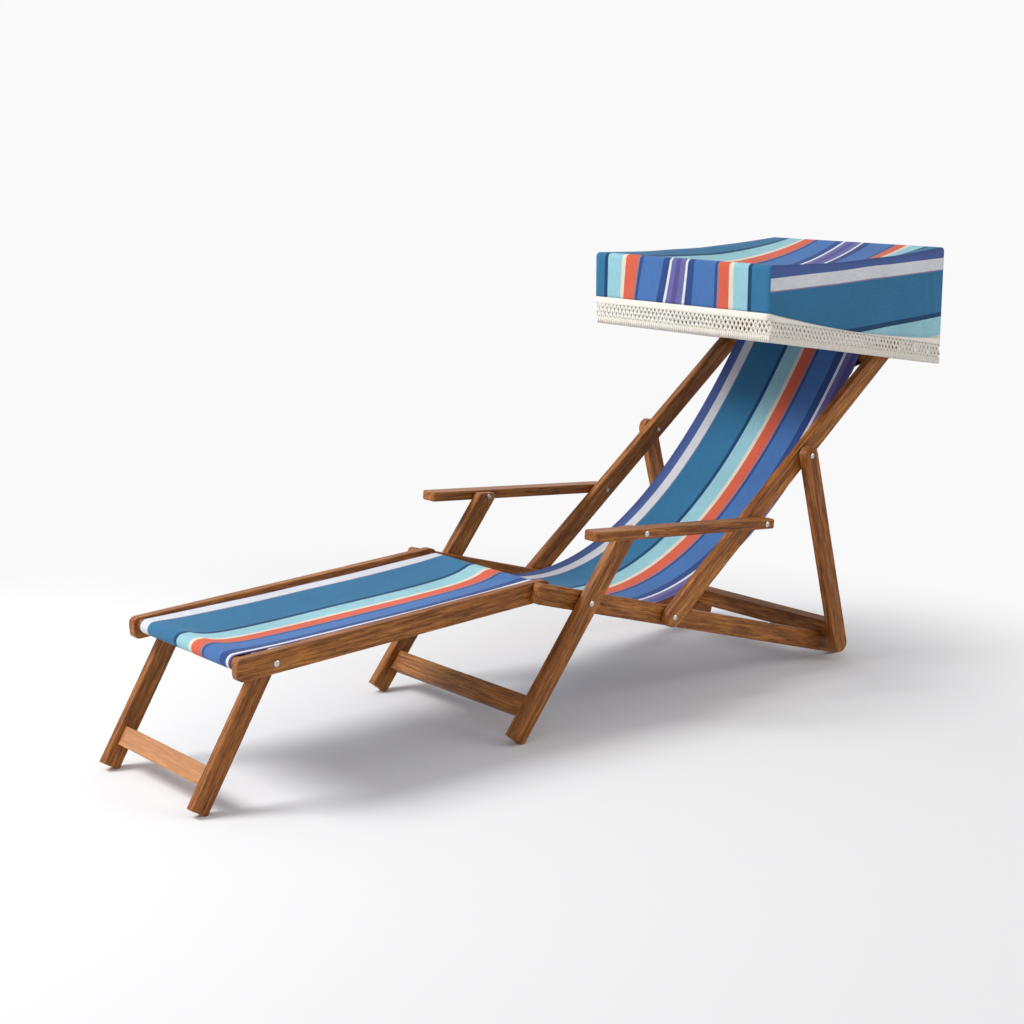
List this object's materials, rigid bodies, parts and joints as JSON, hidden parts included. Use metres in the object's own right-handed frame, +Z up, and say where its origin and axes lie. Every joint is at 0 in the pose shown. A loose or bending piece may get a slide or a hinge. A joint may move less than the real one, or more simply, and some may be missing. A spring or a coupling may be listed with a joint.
{
  "type": "deck chair",
  "caption": "Folding wooden deck chair with cloth sling seat, reclining back on a notched prop, flat arms, hinged sling footrest on folding legs and a tilting fringed canopy.",
  "frame": {"origin": "on the floor under the middle of the whole chair's bounding box", "axes": "+X across the chair to the sitter's left, +Y from the foot end to the head end, +Z up"},
  "size_m": [0.6506, 2.227, 1.047],
  "materials": {
    "varnished_wood": "satin varnish over reddish-brown hardwood",
    "steel": "plain bright steel",
    "sling_canvas": "woven striped canvas",
    "canopy_canvas": "woven striped canvas",
    "cotton_fringe": "knotted cream cotton"
  },
  "bodies": {
    "base": {"base_rail_left": "varnished_wood", "base_rail_right": "varnished_wood", "seat_front_bar": "varnished_wood", "seat_sling": "sling_canvas", "leg_bolt_left": "steel", "leg_bolt_right": "steel", "leg_washer_left": "steel", "leg_washer_right": "steel", "back_bolt_left": "steel", "back_bolt_right": "steel", "back_washer_left": "steel", "back_washer_right": "steel"},
    "back": {"back_rail_left": "varnished_wood", "back_rail_right": "varnished_wood", "sling_top_bar": "varnished_wood", "prop_bolt_left": "steel", "prop_bolt_right": "steel", "prop_washer_left": "steel", "prop_washer_right": "steel", "arm_rear_bolt_left": "steel", "arm_rear_bolt_right": "steel"},
    "front_legs": {"front_leg_left": "varnished_wood", "front_leg_right": "varnished_wood", "front_leg_stretcher": "varnished_wood", "arm_front_bolt_left": "steel", "arm_front_bolt_right": "steel"},
    "arms": {"arm_left": "varnished_wood", "arm_right": "varnished_wood"},
    "props": {"prop_left": "varnished_wood", "prop_right": "varnished_wood", "prop_board": "varnished_wood"},
    "footrest": {"footrest_rail_left": "varnished_wood", "footrest_rail_right": "varnished_wood", "footrest_roller": "varnished_wood", "footrest_front_bar": "varnished_wood", "footrest_sling": "sling_canvas", "foot_leg_bolt_left": "steel", "foot_leg_bolt_right": "steel", "foot_leg_washer_left": "steel", "foot_leg_washer_right": "steel"},
    "foot_legs": {"foot_leg_left": "varnished_wood", "foot_leg_right": "varnished_wood", "foot_leg_stretcher": "varnished_wood"},
    "canopy": {"canopy_front_strip_left": "steel", "canopy_front_strip_right": "steel", "canopy_rear_strip_left": "steel", "canopy_rear_strip_right": "steel", "canopy_front_bar": "varnished_wood", "canopy_rear_bar": "varnished_wood", "canopy_cover": "canopy_canvas", "fringe_left": "cotton_fringe", "fringe_right": "cotton_fringe", "fringe_front": "cotton_fringe", "fringe_rear": "cotton_fringe", "canopy_bolt_left": "steel", "canopy_bolt_right": "steel", "canopy_wing_nut_left": "steel", "canopy_wing_nut_right": "steel"}
  },
  "joints": [
    {"name": "back_recline", "type": "hinge", "parent": "base", "child": "back", "pos_m": [0, 0.16295, 0.21089], "axis": [1, 0, 0], "range_deg": [0, 14], "deforming": ["seat_sling"]},
    {"name": "front_leg_swing", "type": "hinge", "parent": "base", "child": "front_legs", "pos_m": [0, -0.10648, 0.2907], "axis": [1, 0, 0], "range_deg": [-0.5, 19.6]},
    {"name": "arm_swing", "type": "hinge", "parent": "back", "child": "arms", "pos_m": [0, 0.42238, 0.40996], "axis": [1, 0, 0], "range_deg": [-11, 0.5]},
    {"name": "prop_swing", "type": "hinge", "parent": "back", "child": "props", "pos_m": [0, 0.60882, 0.55302], "axis": [1, 0, 0], "range_deg": [0, 85]},
    {"name": "footrest_fold", "type": "hinge", "parent": "base", "child": "footrest", "pos_m": [0, -0.20908, 0.3283], "axis": [-1, 0, 0], "range_deg": [0, 110]},
    {"name": "foot_leg_fold", "type": "hinge", "parent": "footrest", "child": "foot_legs", "pos_m": [0, -0.92177, 0.29418], "axis": [1, 0, 0], "range_deg": [0, 112]},
    {"name": "canopy_tilt", "type": "hinge", "parent": "back", "child": "canopy", "pos_m": [0, 1.01581, 0.86531], "axis": [1, 0, 0], "range_deg": [-25, 25]}
  ],
  "couplings": [
    {"joint": "front_leg_swing", "follows": "back_recline", "ratio": 1.362},
    {"joint": "arm_swing", "follows": "back_recline", "ratio": -0.748}
  ]
}
